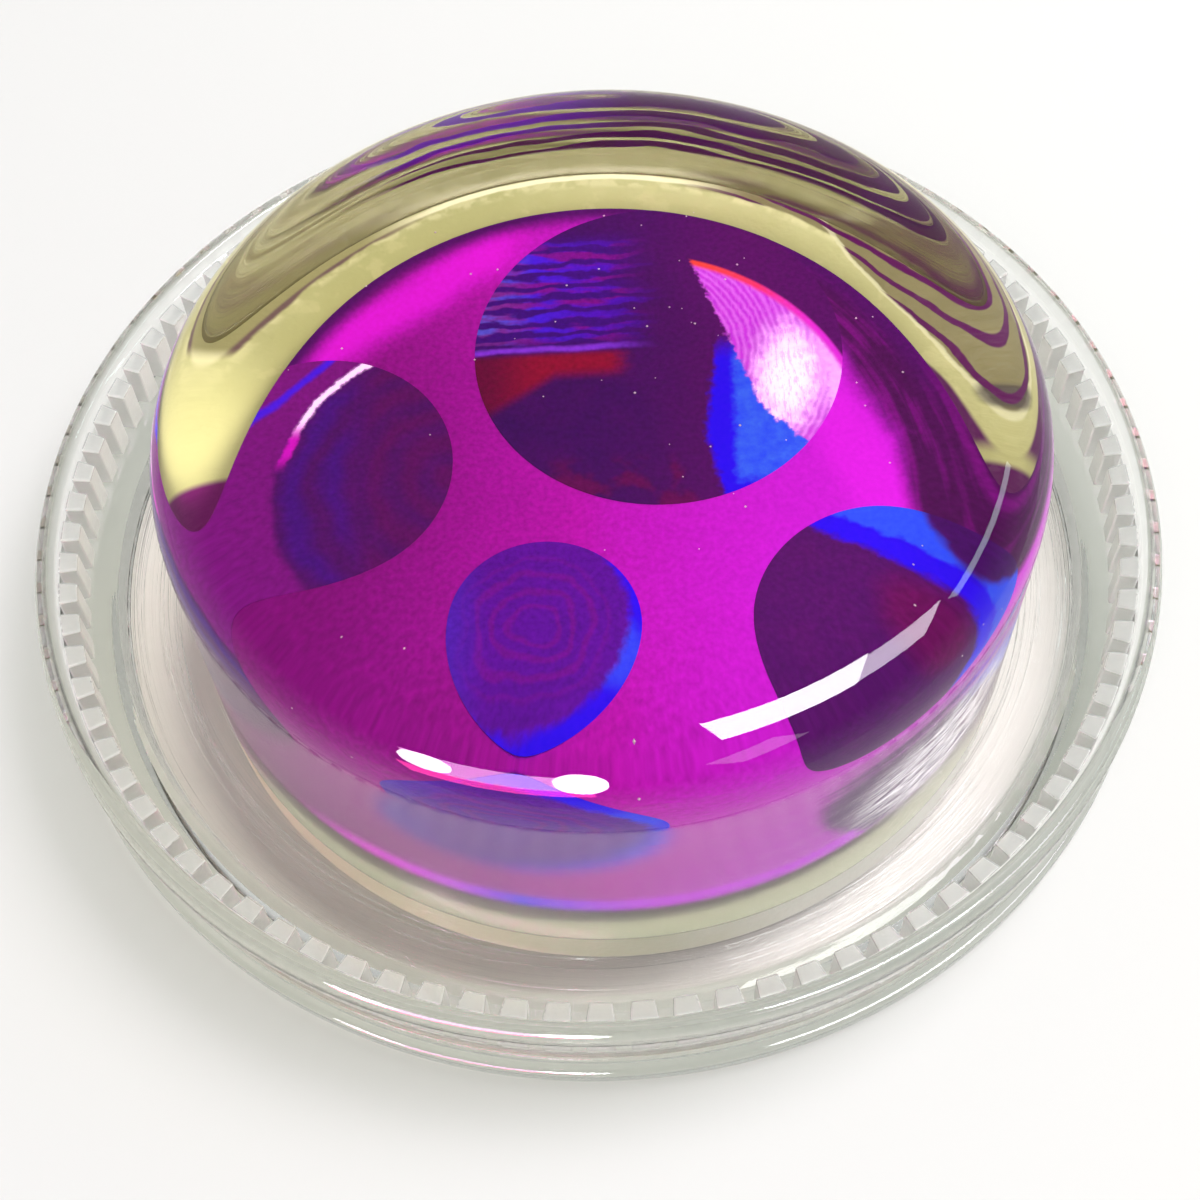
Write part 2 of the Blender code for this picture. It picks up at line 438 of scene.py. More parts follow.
def base_material():
    """Milky cream resin; its top shows as a ring round the film, with painted shade behind and a painted
    pool of light, which also glows, at the left end.

    The olive, the streaks and the film's colour on that ring are painted reflections in the clear wall.
    """
    n = Nodes("base_resin")
    x, y, z = n.flat()
    place = n.place()
    r = n.reach(x, y, (0.0, 0.0))
    cloud = n.noise(place, 500.0, 4.0)
    top = n.above(z, BASE_LEVEL / MM - 0.1, 0.05)
    face = n.mix(cloud, rgb(184, 181, 130), rgb(200, 198, 150))
    # Painted light and shade on the ring: painted shade behind and toward the film's edge, and a painted
    # pool of light at the left end.
    shade = n.every(n.between(x, -19.0, -4.0, 4.0), n.above(y, 0.0, 2.0))
    glow = n.times(n.smooth(n.slope(x, y, 1.0, 0.35), -15.5, -21.5), n.above(y, -5.0, 3.0))
    cold = n.smooth(n.wander(r, place, 300.0, 0.8), 24.2, 21.6, 0.0, 0.45)
    # Lighter flecks toward the outer edge of the ring.
    outer_flecks = n.every(n.above(r, 23.9, 0.25), n.above(n.noise(place, 900.0, 2.0), 0.5, 0.1))
    # A painted highlight: a thin bright line along the ring's outer edge at the back.
    edge_line = n.every(
        n.between(n.wander(r, place, 500.0, 0.3), LINE_INNER, LINE_OUTER, 0.1), n.above(y, 0.0, 2.0),
    )

    # the outer part of the ring, painted olive as a painted reflection of the shaded ring in the clear wall;
    # on the right it narrows toward the back past y = 12 mm
    spread = n.math("MAXIMUM", n.math("SUBTRACT", y, 12.0), 0.0)
    outer = n.math("SUBTRACT", n.wander(r, place, 500.0, 0.5), n.times(n.times(spread, spread), 0.034))
    right_side = n.above(y, 2.5, 0.4)
    right_end = n.every(n.above(outer, CREAM_OUTER, 0.1), right_side, n.above(x, 6.0, 3.0))
    right_edge = n.every(
        n.between(outer, CREAM_OUTER - 0.18, CREAM_OUTER + 0.05, 0.06), right_side, n.above(x, 8.0, 3.0),
    )
    left_end = n.every(
        n.above(n.wander(r, place, 400.0, 0.5), 24.3, 0.12), n.above(y, 11.4, 0.5), n.below(x, -12.0, 3.0),
    )
    rim = n.every(
        n.above(n.wander(r, place, 300.0, 0.5), 24.35, 0.1), n.above(y, 10.0, 2.0), n.above(x, 8.0, 3.0),
    )
    olive_reflection_zone = n.either(right_end, rim, left_end)
    olive = n.mix(n.noise(place, 700.0, 4.0), rgb(116, 108, 76), rgb(140, 132, 96))
    olive = n.mix(n.below(x, -5.0, 5.0), olive, rgb(160, 154, 110))
    # Dark purple streaks on the olive, a painted reflection of the film; the hook darkens the inner part of
    # the olive's left end, within the same painted reflection.
    dark = n.every(n.either(right_end, rim), n.above(x, 2.0, 6.0), streaks(n, x, y, r, 0.9, 0.24))
    hook = n.every(left_end, n.below(r, LINE_INNER, 0.1))

    # where the ring is painted with the film's reflection in the clear wall: along the film on the right,
    # and past both ends of the cream
    beside_film = n.every(
        n.below(n.add(r, n.smooth(y, 6.0, 11.0, 0.0, 0.7)), 21.95, 0.12), n.above(y, 2.2, 0.6),
        n.above(x, 10.0, 2.0),
    )
    past_ends = n.either(
        n.every(n.below(y, 2.6, 0.25), n.below(x, -14.0, 2.0)),
        n.every(n.below(y, 1.2, 0.25), n.above(x, 14.0, 2.0)),
    )
    film_reflection = n.mix(n.below(x, 0.0, 4.0), rgb(88, 18, 86), rgb(150, 22, 140))
    blot = n.below(n.wander(n.reach(x, y, (22.7, 5.6)), place, 600.0, 0.8), 0.8, 0.25)
    face = n.layers(
        face,
        (cold, rgb(166, 160, 108)),
        (n.times(shade, 0.6), rgb(172, 170, 118)),
        (n.times(n.above(cloud, 0.60, 0.04), 0.35), rgb(206, 200, 150)),
        (n.times(outer_flecks, 0.6), rgb(226, 220, 176)),
        (edge_line, rgb(255, 248, 214)),
        (glow, rgb(240, 236, 176)),
        (olive_reflection_zone, olive),
        (n.times(hook, 0.8), rgb(96, 54, 84)),
        (n.times(right_edge, 0.6), rgb(226, 222, 190)),
        (n.times(blot, 0.8), rgb(62, 52, 60)),
        (n.either(beside_film, past_ends), film_reflection),
        (n.below(y, -12.0, 3.0), rgb(172, 175, 148)),
        (dark, rgb(84, 4, 80)),
    )
    # The side is painted lighter toward the right, where the light falls: painted light. It turns pinkish
    # toward the left.
    side = n.mix(cloud, rgb(216, 214, 190), rgb(208, 208, 182))
    side = n.mix(n.smooth(n.wander(x, place, 200.0, 8.0), 0.0, 16.0), side, rgb(244, 243, 234))
    side = n.mix(n.smooth(x, -8.0, -20.0), side, rgb(238, 208, 200))
    # Painted glow: emission on the pool of light at the left end of the ring and on the side toward the
    # left.
    lit = n.either(
        n.every(top, glow, n.away(olive_reflection_zone), n.away(past_ends)),
        n.every(n.away(top), n.below(x, -4.0, 8.0)),
    )
    shader = n.principled(
        Base_Color=n.mix(top, side, face), Roughness=0.3, IOR=1.5,
        Normal=n.bump(n.noise(place, 2200.0, 3.0), 0.00006, 0.8),
        Emission_Color=rgb(255, 248, 170), Emission_Strength=n.times(lit, 0.11),
    )
    return n.finish(shader)


def dish_material():
    """Clear moulded plastic, with fine turned lines on the floor."""
    n = Nodes("dish_plastic")
    split = n.node("ShaderNodeSeparateXYZ")
    n.put(split.inputs[0], n.place())
    r = n.reach(split.outputs[0], split.outputs[1], (0.0, 0.0))
    rim = n.smooth(r, 30.2 * MM, 31.2 * MM)
    turned = n.noise(n.join(n.times(r, 2200.0), 0.0), 1.0, 3.0, 0.7)
    shader = n.principled(
        Base_Color=n.mix(rim, (0.98, 0.95, 0.95), (0.97, 0.98, 0.955)), Roughness=0.02, IOR=1.55,
        Transmission_Weight=1.0, Normal=n.bump(turned, 0.0004, n.times(n.away(rim), 0.7)),
    )
    tint = n.mix(rim, (1.0, 0.99, 0.98), (0.79, 0.80, 0.78))
    return n.finish(n.light_passes(shader, tint))


def teeth_material():
    """The same plastic, frosted."""
    n = Nodes("dish_teeth_frosted")
    grain = n.noise(n.place(), 2500.0)
    shader = n.principled(
        Base_Color=(0.92, 0.93, 0.90), Roughness=0.4, IOR=1.45, Transmission_Weight=0.7,
        Normal=n.bump(grain, 0.00005, 0.6),
    )
    return n.finish(n.light_passes(shader, (0.88, 0.89, 0.87)))


def film_shader(n, colour):
    """Satin metallised film in a painted colour, whose bright parts glow a little as painted light."""
    grain = n.noise(n.place(), 3000.0, 3.0)
    shade = n.mix(0.5, colour, n.mix(grain, (0.15, 0.15, 0.15), (1.0, 1.0, 1.0)), "OVERLAY")
    bright = n.node("ShaderNodeRGBToBW")
    n.put(bright.inputs[0], colour)
    return n.principled(
        Base_Color=n.mix(1.0, shade, (0.76, 0.42, 0.92), "MULTIPLY"), Metallic=0.35, Roughness=0.42,
        Specular_IOR_Level=0.05, Normal=n.bump(grain, 0.00003, 0.5),
        Emission_Color=colour, Emission_Strength=n.smooth(bright.outputs[0], 0.30, 0.85, 0.0, 0.55),
    )


def foil_material():
    """Magenta film, painted brighter to the right, with a painted lit band, a painted dark reflection along
    the right edge, painted shade along the back edge and a painted sheen along the front edge.
    """
    n = Nodes("magenta_foil")
    x, y, z = n.flat()
    place = n.place()
    r = n.reach(x, y, (0.0, 0.0))
    # The film is painted brighter toward the right, as painted reflected light.
    across = n.wander(n.slope(x, y, 1.0, 0.12), place, 120.0, 7.0)
    colour = n.ramp(n.smooth(across, -19.0, 14.0), [
        (0.0, rgb(132, 16, 120)), (0.5, rgb(186, 22, 172)), (1.0, rgb(208, 36, 218)),
    ])
    # A painted lit band across the film's left part: painted reflection.
    rise = n.wander(n.slope(x, y, -0.574, 0.818, -18.25), place, 300.0, 1.0)
    lit_band = n.every(n.between(rise, -1.5, 1.7, 1.2), n.below(x, -4.5, 2.0))
    # Near the right edge the film is painted dark, as a painted dark reflection, with a bright painted band
    # just inside it.
    edge_line = n.wander(n.slope(x, y, 1.0, 0.41, -19.0), place, 200.0, 2.0)
    swirl = n.noise(n.join(n.times(r, 1.4), n.slope(x, y, 0.1, -0.1), 0.0), 1.2, 2.0)
    dark_reflection = n.mix(n.above(swirl, 0.55, 0.12), rgb(78, 18, 80), rgb(118, 18, 118))
    dark_reflection_zone = n.either(n.above(edge_line, -0.4, 1.1), n.every(n.above(x, 17.6, 0.7), n.below(y, 4.0, 2.0)))
    # A painted sheen along the front edge: the bright magenta to blue that the film shows at a low angle.
    front_sheen = n.every(n.above(n.wander(r, place, 500.0, 0.6), 19.8, 0.3), n.below(y, -15.0, 2.0))
    front_sheen_colour = n.ramp(n.smooth(x, -13.0, 4.0), [
        (0.0, rgb(255, 20, 240)), (0.45, rgb(90, 60, 255)), (1.0, rgb(226, 40, 250)),
    ])
    return n.finish(film_shader(n, n.layers(
        colour,
        (lit_band, rgb(236, 28, 224)),
        (n.between(edge_line, -5.5, -1.3, 1.3), rgb(228, 40, 234)),
        (dark_reflection_zone, dark_reflection),
        # Painted shade along the back edge of the film.
        (n.every(n.above(r, 20.3, 0.8), n.above(y, 6.0, 4.0)), rgb(84, 14, 98)),
        (front_sheen, front_sheen_colour),
    )))


def large_dot(n, x, y, place):
    """Blue bars, a red bar, a white fan that is a painted highlight and a blue patch on dark violet."""
    rough_x = n.wander(x, place, 2200.0, 0.9)
    rough_y = n.wander(y, place, 2200.0, 0.9)
    ground = n.mix(n.noise(place, 500.0, 4.0), rgb(50, 12, 86), rgb(80, 16, 98))
    ground = n.mix(n.above(x, 5.0, 6.0), ground, rgb(88, 16, 96))
    wavy = n.add(y, n.times(n.noise(n.join(n.times(x, 0.35), n.times(y, 0.8)), 1.0, 3.0), 1.8))
    bars = n.every(n.above(n.waves(wavy, 0.95), 0.5, 0.35), n.between(y, 10.6, 18.4, 0.7))
    low_bar = n.between(n.wander(y, place, 500.0, 0.5), 9.9, 10.3, 0.15)
    left = n.below(n.wander(rough_x, n.join(0.0, n.times(y, 0.6)), 1.0, 3.0), 2.2, 2.2)
    blue_bar = n.ramp(n.smooth(x, -7.5, 1.0), [
        (0.0, rgb(92, 112, 214)), (0.45, rgb(76, 34, 226)), (1.0, rgb(84, 18, 190)),
    ])
    warm = n.above(n.noise(n.join(n.times(x, 0.25), n.times(y, 0.9)), 1.0, 3.0), 0.52, 0.08)
    blue_bar = n.mix(n.times(warm, 0.75), blue_bar, rgb(140, 12, 110))
    red_low = n.math("MULTIPLY_ADD", n.math("MAXIMUM", n.slope(x, y, -1.0, 0.0, -2.5), 0.0), -0.67, 8.0)
    red_gap = n.math("SUBTRACT", y, red_low)
    red = n.every(n.above(red_gap, 0.1, 0.6), n.below(y, 9.7, 0.3), n.below(rough_x, 1.6, 0.9))
    # The white fan, with its pink rings, white core and orange rim, is a painted highlight.
    fan_left = n.math("SUBTRACT", rough_x, n.slope(y, 0.0, -0.3, 0.0, 11.38))
    fan_arc = n.reach(x, y, (1.5, 2.75))
    fan_foot = n.slope(rough_x, rough_y, 1.083, 1.0, -15.63)
    fan = n.every(n.above(fan_left, 0.0, 0.15), n.below(fan_arc, 14.7, 0.12), n.above(fan_foot, 0.0, 0.3))
    core = n.reach(n.slope(x, y, 1.9, -0.25, -10.7), y, (9.7, 7.0))
    rings = n.waves(n.wander(n.reach(x, y, (2.0, 9.6)), place, 900.0, 0.5), 0.42)
    threads = n.above(n.noise(n.join(n.times(x, 5.0), n.times(y, 1.1)), 1.0, 4.0, 0.7), 0.56, 0.06)
    fan_colour = n.layers(
        n.mix(n.times(rings, 0.6), rgb(206, 66, 230), rgb(238, 158, 250)),
        (n.below(n.wander(core, place, 1500.0, 3.4), 3.6, 2.4), rgb(255, 250, 255)),
        (n.times(threads, 0.45), rgb(226, 140, 242)),
        (n.above(n.wander(x, place, 1500.0, 2.0), 13.8, 0.6), rgb(236, 190, 246)),
        (n.above(fan_arc, 14.25, 0.2), n.ramp(n.smooth(x, 6.0, 15.0), [
            (0.0, rgb(255, 96, 52)), (0.5, rgb(255, 70, 110)), (1.0, rgb(236, 60, 226)),
        ])),
    )
    bow = n.math("ABSOLUTE", n.math("SUBTRACT", y, 3.2))
    patch_left = n.math("SUBTRACT", rough_x, n.math("MULTIPLY_ADD", bow, 0.17, 6.4))
    patch = n.every(
        n.above(patch_left, 0.0, 0.3), n.below(rough_y, 9.6, 1.2),
        n.below(n.slope(x, y, 1.0, 1.0), 18.6, 0.4),
    )
    azure = n.every(n.above(n.slope(rough_x, rough_y, 1.0, -0.05), 8.0, 0.35), n.above(rough_y, -0.2, 0.5))
    mottle = n.mix(n.noise(place, 1300.0, 4.0), rgb(30, 60, 255), rgb(72, 160, 255))
    patch_colour = n.mix(azure, rgb(44, 4, 250), mottle)
    glow = n.every(n.above(n.noise(place, 350.0, 3.0), 0.56, 0.06), n.below(y, 1.6, 0.8))
    return n.layers(
        ground,
        (n.times(n.every(left, n.between(y, 10.4, 18.8, 0.8)), 0.6), rgb(64, 14, 140)),
        (n.every(bars, left), blue_bar),
        (n.every(low_bar, left), rgb(136, 70, 222)),
        (red, n.mix(n.above(x, -5.0, 2.0), rgb(104, 10, 56), rgb(146, 16, 50))),
        (glow, rgb(98, 14, 82)),
        (patch, patch_colour),
        (fan, fan_colour),
    )


def small_dot(n, x, y, place):
    """Faint red rings and a blue edge, brightest at the lower right."""
    ground = n.mix(n.noise(place, 600.0, 4.0), rgb(84, 18, 140), rgb(104, 20, 166))
    ring_at = n.wander(n.reach(x, y, (-4.2, -9.2)), place, 260.0, 2.6)
    ring = n.every(n.above(n.waves(ring_at, 1.0), 0.7, 0.35), n.between(ring_at, 0.9, 4.2, 0.5))
    edge = n.every(
        n.above(n.wander(n.reach(x, y, (-4.5, -8.7)), place, 1500.0, 0.7), 5.65, 0.3),
        n.above(n.slope(x, y, 1.0, -0.5, 1.0), -0.5, 1.5),
    )
    azure = n.below(n.wander(n.reach(x, y, (0.2, -11.0)), place, 900.0, 1.0), 1.7, 0.6)
    return n.layers(
        ground,
        (n.times(ring, 0.45), rgb(132, 18, 132)),
        (n.smooth(x, -6.6, -9.2, 0.0, 0.6), rgb(76, 50, 190)),
        (edge, n.mix(azure, rgb(48, 10, 248), rgb(56, 92, 255))),
    )


def left_dot(n, x, y, place):
    """A bright, thin painted highlight, a blue line beside it and faint bowed bars."""
    ground = n.mix(n.noise(place, 500.0, 4.0), rgb(70, 18, 94), rgb(96, 24, 108))
    bow = n.wander(n.reach(x, y, (-9.0, 1.0)), place, 400.0, 0.7)
    bars = n.waves(n.wander(bow, place, 200.0, 2.0), 2.1)
    fine_bow = n.wander(bow, place, 2500.0, 0.35)
    # A painted highlight: a thin bright band, pink turning white toward the back.
    reflection_streak = n.every(n.between(fine_bow, 9.75, 10.2, 0.14), n.above(y, 2.6, 0.8))
    cold = n.wander(n.slope(x, y, -1.0, 1.0, -26.4), place, 500.0, 0.8)
    return n.layers(
        ground,
        (n.times(bars, 0.45), n.mix(n.above(x, -14.5, 1.5), rgb(62, 24, 150), rgb(104, 16, 84))),
        (n.above(bow, 10.2, 0.25), rgb(128, 26, 128)),
        (n.between(cold, -0.35, 0.35, 0.25), rgb(78, 34, 236)),
        (reflection_streak, n.mix(n.above(y, 5.0, 0.8), rgb(226, 24, 206), rgb(255, 236, 255))),
    )


def right_dot(n, x, y, place):
    """A blue band along the top that stops short of the right side, and a dull red glow."""
    ground = n.mix(n.noise(place, 500.0, 4.0), rgb(74, 18, 96), rgb(94, 24, 104))
    rough = n.wander(y, place, 1300.0, 1.2)
    drop = n.slope(x, rough, 0.53, 1.0, -2.76)
    drop_azure = n.slope(x, rough, 0.5, 1.0, -3.6)
    glow = n.below(n.wander(n.reach(x, y, (16.4, -8.6)), place, 400.0, 1.0), 1.7, 0.9)
    far_side = n.above(n.wander(n.slope(x, y, 1.0, 0.25), place, 1500.0, 0.8), 17.3, 0.35)
    return n.layers(
        ground,
        (n.times(glow, 0.7), rgb(112, 14, 82)),
        (n.above(drop, -0.2, 0.35), rgb(46, 8, 250)),
        (n.every(n.above(drop_azure, 0.0, 0.2), n.above(x, 12.9, 1.2)), rgb(50, 108, 255)),
        (far_side, rgb(70, 16, 96)),
    )


DOT_PATTERNS = {
    "holo_dot_large": large_dot,
    "holo_dot_left": left_dot,
    "holo_dot_small": small_dot,
    "holo_dot_right": right_dot,
}


def dot_material(name):
    n = Nodes(name)
    x, y, z = n.flat()
    return n.finish(film_shader(n, DOT_PATTERNS[name](n, x, y, n.place())))


# ---------------------------------------------------------------- the puck
def puck_profile():
    """The clear resin's section, from the middle of the top to the middle of the underside."""
    edge = PUCK_RADIUS - EDGE_ACROSS
    shoulder = PUCK_TOP - EDGE_DOWN
    underside = BASE_LEVEL - LAYER_GAP
    dome = []
    for across, down in arc(0.0, 0.0, 1.0, 90.0, 0.0, 64):
        across = max(0.0, across) ** (2 / EDGE_FULLNESS)
        down = max(0.0, down) ** (2 / EDGE_FULLNESS)
        dome.append((edge + EDGE_ACROSS * across, shoulder + EDGE_DOWN * down))
    return (
        [(0.0, PUCK_TOP)]
        + straight((edge * 0.1, PUCK_TOP), (edge, PUCK_TOP), 20)
        + dome
        + straight((PUCK_RADIUS, shoulder - 0.2 * MM), (PUCK_RADIUS, BASE_LEVEL), 70)
        + [(PUCK_RADIUS, underside), (PUCK_RADIUS - 0.3 * MM, underside)]
        + straight((PUCK_RADIUS - BASE_EDGE, underside), (edge * 0.1, underside), 8)
        + [(0.0, underside)]
    )


def wall_ripple(angle, radius, height):
    """Shallow waves that run round the back of the wall, as the mould left them."""
    if radius < PUCK_RADIUS - 0.9 * MM or height < BASE_LEVEL + 0.5 * MM:
        return 0.0, 0.0
    rise = height / MM
    fade = min(1.0, max(0.0, (rise - 7.0) / 2.0)) * min(1.0, max(0.0, (19.0 - rise) / 1.6))
    back = 0.5 + 0.5 * math.cos(angle - math.radians(62.0))
    strength = 0.036 * MM * fade * min(1.0, 1.7 * back ** 1.5)
    drift = 1.1 * math.sin(2.0 * angle + 0.7)
    drift += 0.8 * math.sin(5.0 * angle + 2.0)
    drift += 0.5 * math.sin(9.0 * angle)
    wave = math.sin(math.tau * rise / 1.75 + drift) + 0.35 * math.sin(math.tau * rise / 1.13 + 2.3 * drift)
    return strength * (wave - 1.35), 0.0


def make_puck():
    puck = lathe("cast_body", puck_profile(), 300, (PUCK_CENTRE.x, PUCK_CENTRE.y), wall_ripple)
    return dress(puck, cast_material(), "cast_resin", "puck", "top_cast")


def make_base():
    radius = PUCK_RADIUS - 0.03 * MM
    profile = (
        [(0.0, BASE_LEVEL)]
        + straight((3.0 * MM, BASE_LEVEL), (radius - 0.1 * MM, BASE_LEVEL), 10)
        + [(radius - 0.1 * MM, BASE_LEVEL), (radius, BASE_LEVEL - 0.06 * MM)]
        + straight((radius, BASE_LEVEL - 0.2 * MM), (radius, PUCK_BOTTOM + BASE_EDGE + 0.1 * MM), 6)
        + arc(radius - BASE_EDGE, PUCK_BOTTOM + BASE_EDGE, BASE_EDGE, 0.0, -90.0, 8)
        + [(3.0 * MM, PUCK_BOTTOM), (0.0, PUCK_BOTTOM)]
    )
    base = lathe("base_layer", profile, 256, (PUCK_CENTRE.x, PUCK_CENTRE.y))
    return dress(base, base_material(), "base_resin", "puck", "base_cast")


def plate(name, outline_of, centre, top, thickness, rings, steps):
    """A thin plate whose outline is a distance from its centre for each angle."""
    verts = []
    faces = []
    for level in (top, top - thickness):
        first = len(verts)
        verts.append((centre.x, centre.y, level))
        for ring in range(1, rings + 1):
            for step in range(steps):
                angle = math.tau * step / steps
                reach = outline_of(angle) * ring / rings
                out_x = centre.x + reach * math.cos(angle)
                out_y = centre.y + reach * math.sin(angle)
                verts.append((out_x, out_y, level))
        for step in range(steps):
            follow = (step + 1) % steps
            triangle = (first, first + 1 + step, first + 1 + follow)
            faces.append(triangle if level == top else triangle[::-1])
            for ring in range(rings - 1):
                a = first + 1 + ring * steps
                b = a + steps
                quad = (a + step, b + step, b + follow, a + follow)
                faces.append(quad if level == top else quad[::-1])
    outer_top = 1 + (rings - 1) * steps
    outer_low = outer_top + len(verts) // 2
    for step in range(steps):
        follow = (step + 1) % steps
        faces.append((outer_top + step, outer_low + step, outer_low + follow, outer_top + follow))
    item = new_object(name, verts, faces)
    item.data.set_sharp_from_angle(angle=math.radians(40.0))
    return item


def make_foil():
    foil = plate("foil_film", lambda angle: FOIL_RADIUS, PUCK_CENTRE, FOIL_Z, 0.12 * MM, 20, 180)
    return dress(foil, foil_material(), "magenta_foil", "puck", "foil_disc")


def make_dot(name):
    x, y, radius = (value * MM for value in DOTS[name])
    centre = PUCK_CENTRE + Vector((x, y, 0.0))

    def outline(angle):
        # how far it is from the dot's centre to the foil's edge in this direction
        along = x * math.cos(angle) + y * math.sin(angle)
        to_edge = -along + math.sqrt(along * along + FOIL_RADIUS ** 2 - x * x - y * y)
        return min(radius, to_edge)

    dot = plate(name + "_film", outline, centre, FOIL_Z + 0.03 * MM, 0.02 * MM, 16, 144)
    return dress(dot, dot_material(name), "holo_dot", "puck", name)


def speck_material():
    n = Nodes("cast_specks")
    cloud = n.noise(n.place(), 900.0, 2.0)
    shade = n.mix(cloud, rgb(196, 150, 190), rgb(236, 226, 236))
    return n.finish(n.principled(Base_Color=shade, Roughness=0.4))


def make_specks():
    """Small trapped bubbles and dust above the film, most of them toward the back and the right."""
    chance = random.Random(SEED)
    verts = []
    faces = []
    octahedron = [(1, 0, 0), (-1, 0, 0), (0, 1, 0), (0, -1, 0), (0, 0, 1), (0, 0, -1)]
    sides = [(0, 2, 4), (2, 1, 4), (1, 3, 4), (3, 0, 4), (2, 0, 5), (1, 2, 5), (3, 1, 5), (0, 3, 5)]
    for index in range(SPECK_COUNT):
        turn = math.radians(chance.gauss(40.0, 75.0))
        reach = math.sqrt(chance.uniform(0.05, 1.0)) * 20.5 * MM
        centre = PUCK_CENTRE + Vector((reach * math.cos(turn), reach * math.sin(turn), 0.0))
        centre.z = FOIL_Z + chance.uniform(0.4, 5.0) * MM
        size = chance.uniform(0.035, 0.09) * MM
        first = len(verts)
        for corner in octahedron:
            verts.append(centre + Vector(corner) * size)
        for side in sides:
            faces.append(tuple(first + corner for corner in side))
    specks = new_object("cast_specks", verts, faces)
    return dress(specks, speck_material(), "cast_resin", "puck")


# ---------------------------------------------------------------- the dish
def dish_profile():
    rim_round = (DISH_RADIUS - RIM_INNER_RADIUS) / 2
    rim_middle = DISH_RADIUS - rim_round
    bead_bottom = DISH_HEIGHT - BEAD_HEIGHT
    foot_round = 0.35 * MM
    return (
        [(0.0, FLOOR_HEIGHT - 0.1 * MM)]
        + straight((3.0 * MM, FLOOR_HEIGHT - 0.1 * MM), (LINE_RADIUS, FLOOR_HEIGHT - 0.1 * MM), 6)
        + [(LINE_RADIUS, FLOOR_HEIGHT - 0.1 * MM), (LINE_RADIUS + 0.1 * MM, FLOOR_HEIGHT)]
        + [(FLOOR_RADIUS - 0.3 * MM, FLOOR_HEIGHT), (FLOOR_RADIUS, FLOOR_HEIGHT + 0.1 * MM)]
        + [(SHELF_INNER_RADIUS - 0.1 * MM, SHELF_HEIGHT - 0.2 * MM)]
        + [(SHELF_INNER_RADIUS + 0.2 * MM, SHELF_HEIGHT)]
        + [(RIM_INNER_RADIUS - 0.3 * MM, SHELF_HEIGHT), (RIM_INNER_RADIUS, SHELF_HEIGHT + 0.3 * MM)]
        + arc(rim_middle, DISH_HEIGHT - rim_round, rim_round, 180.0, 0.0, 16)
        + [(DISH_RADIUS, bead_bottom + 0.3 * MM), (DISH_RADIUS - 0.15 * MM, bead_bottom)]
        + [(WAIST_RADIUS, bead_bottom - 0.3 * MM), (WAIST_RADIUS, FOOT_HEIGHT + 0.3 * MM)]
        + arc(DISH_RADIUS - foot_round, FOOT_HEIGHT - foot_round, foot_round, 90.0, 0.0, 6)
        + arc(DISH_RADIUS - foot_round, foot_round, foot_round, 0.0, -90.0, 6)
        + [(FOOT_INNER_RADIUS, 0.0), (FOOT_INNER_RADIUS - UNDERSIDE, UNDERSIDE)]
        + straight((FOOT_INNER_RADIUS - UNDERSIDE - 0.5 * MM, UNDERSIDE), (3.0 * MM, UNDERSIDE), 6)
        + [(0.0, UNDERSIDE)]
    )


def make_dish():
    dish = lathe("dish_shell", dish_profile(), 360)
    dish.data.set_sharp_from_angle(angle=math.radians(35.0))
    return dress(dish, dish_material(), "dish_plastic", "dish", "dish")


def make_teeth():
    """The ring of frosted teeth inside the rim, one closed block for each tooth."""
    pitch = math.tau / TOOTH_COUNT
    back = RIM_INNER_RADIUS - 0.03 * MM
    low = SHELF_HEIGHT + 0.03 * MM
    verts = []
    faces = []
    for index in range(TOOTH_COUNT):
        middle = index * pitch
        first = len(verts)
        for radius, half, top in ((back, 0.34, TOOTH_TOP), (TOOTH_TIP_RADIUS, 0.28, TOOTH_TOP - 0.2 * MM)):
            for side in (-1, 1):
                for height in (low, top):
                    angle = middle + side * half * pitch
                    verts.append((radius * math.cos(angle), radius * math.sin(angle), height))
        a = first
        faces += [
            (a, a + 1, a + 3, a + 2), (a + 4, a + 6, a + 7, a + 5), (a, a + 4, a + 5, a + 1),
            (a + 2, a + 3, a + 7, a + 6), (a + 1, a + 5, a + 7, a + 3), (a, a + 2, a + 6, a + 4),
        ]
    teeth = new_object("dish_teeth", verts, faces, smooth=False)
    bevel = teeth.modifiers.new("bevel", "BEVEL")
    bevel.width = 0.12 * MM
    bevel.segments = 2
    return dress(teeth, teeth_material(), "dish_plastic", "dish", "dish")


# ---------------------------------------------------------------- the stage
def strip_lamp(name, start, end, width, radiance, colour=(1.0, 1.0, 1.0), shape="RECTANGLE", glint=True):
    """A flat lamp between two points, facing the puck; it makes either glints or the soft light."""
    start = Vector(start)
    end = Vector(end)
    along = (end - start).normalized()
    middle = (start + end) / 2
    back = middle - along * middle.dot(along)
    back.normalize()
    side = back.cross(along)
    data = bpy.data.lights.new(name, "AREA")
    data.shape = shape
    data.size = (end - start).length
    data.size_y = width
    data.energy = radiance * math.pi * data.size * data.size_y
    data.color = colour
    lamp = bpy.data.objects.new(name, data)
    bpy.context.scene.collection.objects.link(lamp)
    turn = Matrix((along, side, back)).transposed().to_4x4()
    lamp.matrix_world = Matrix.Translation(middle) @ turn
    lamp.visible_diffuse = not glint
    lamp.visible_glossy = glint
    lamp.visible_transmission = glint
    return lamp


def toward(azimuth, elevation, distance):
    """A point at an azimuth from +X and an elevation, in degrees."""
    turn = math.radians(azimuth)
    rise = math.radians(elevation)
    along = Vector((math.cos(turn) * math.cos(rise), math.sin(turn) * math.cos(rise), math.sin(rise)))
    return along * distance


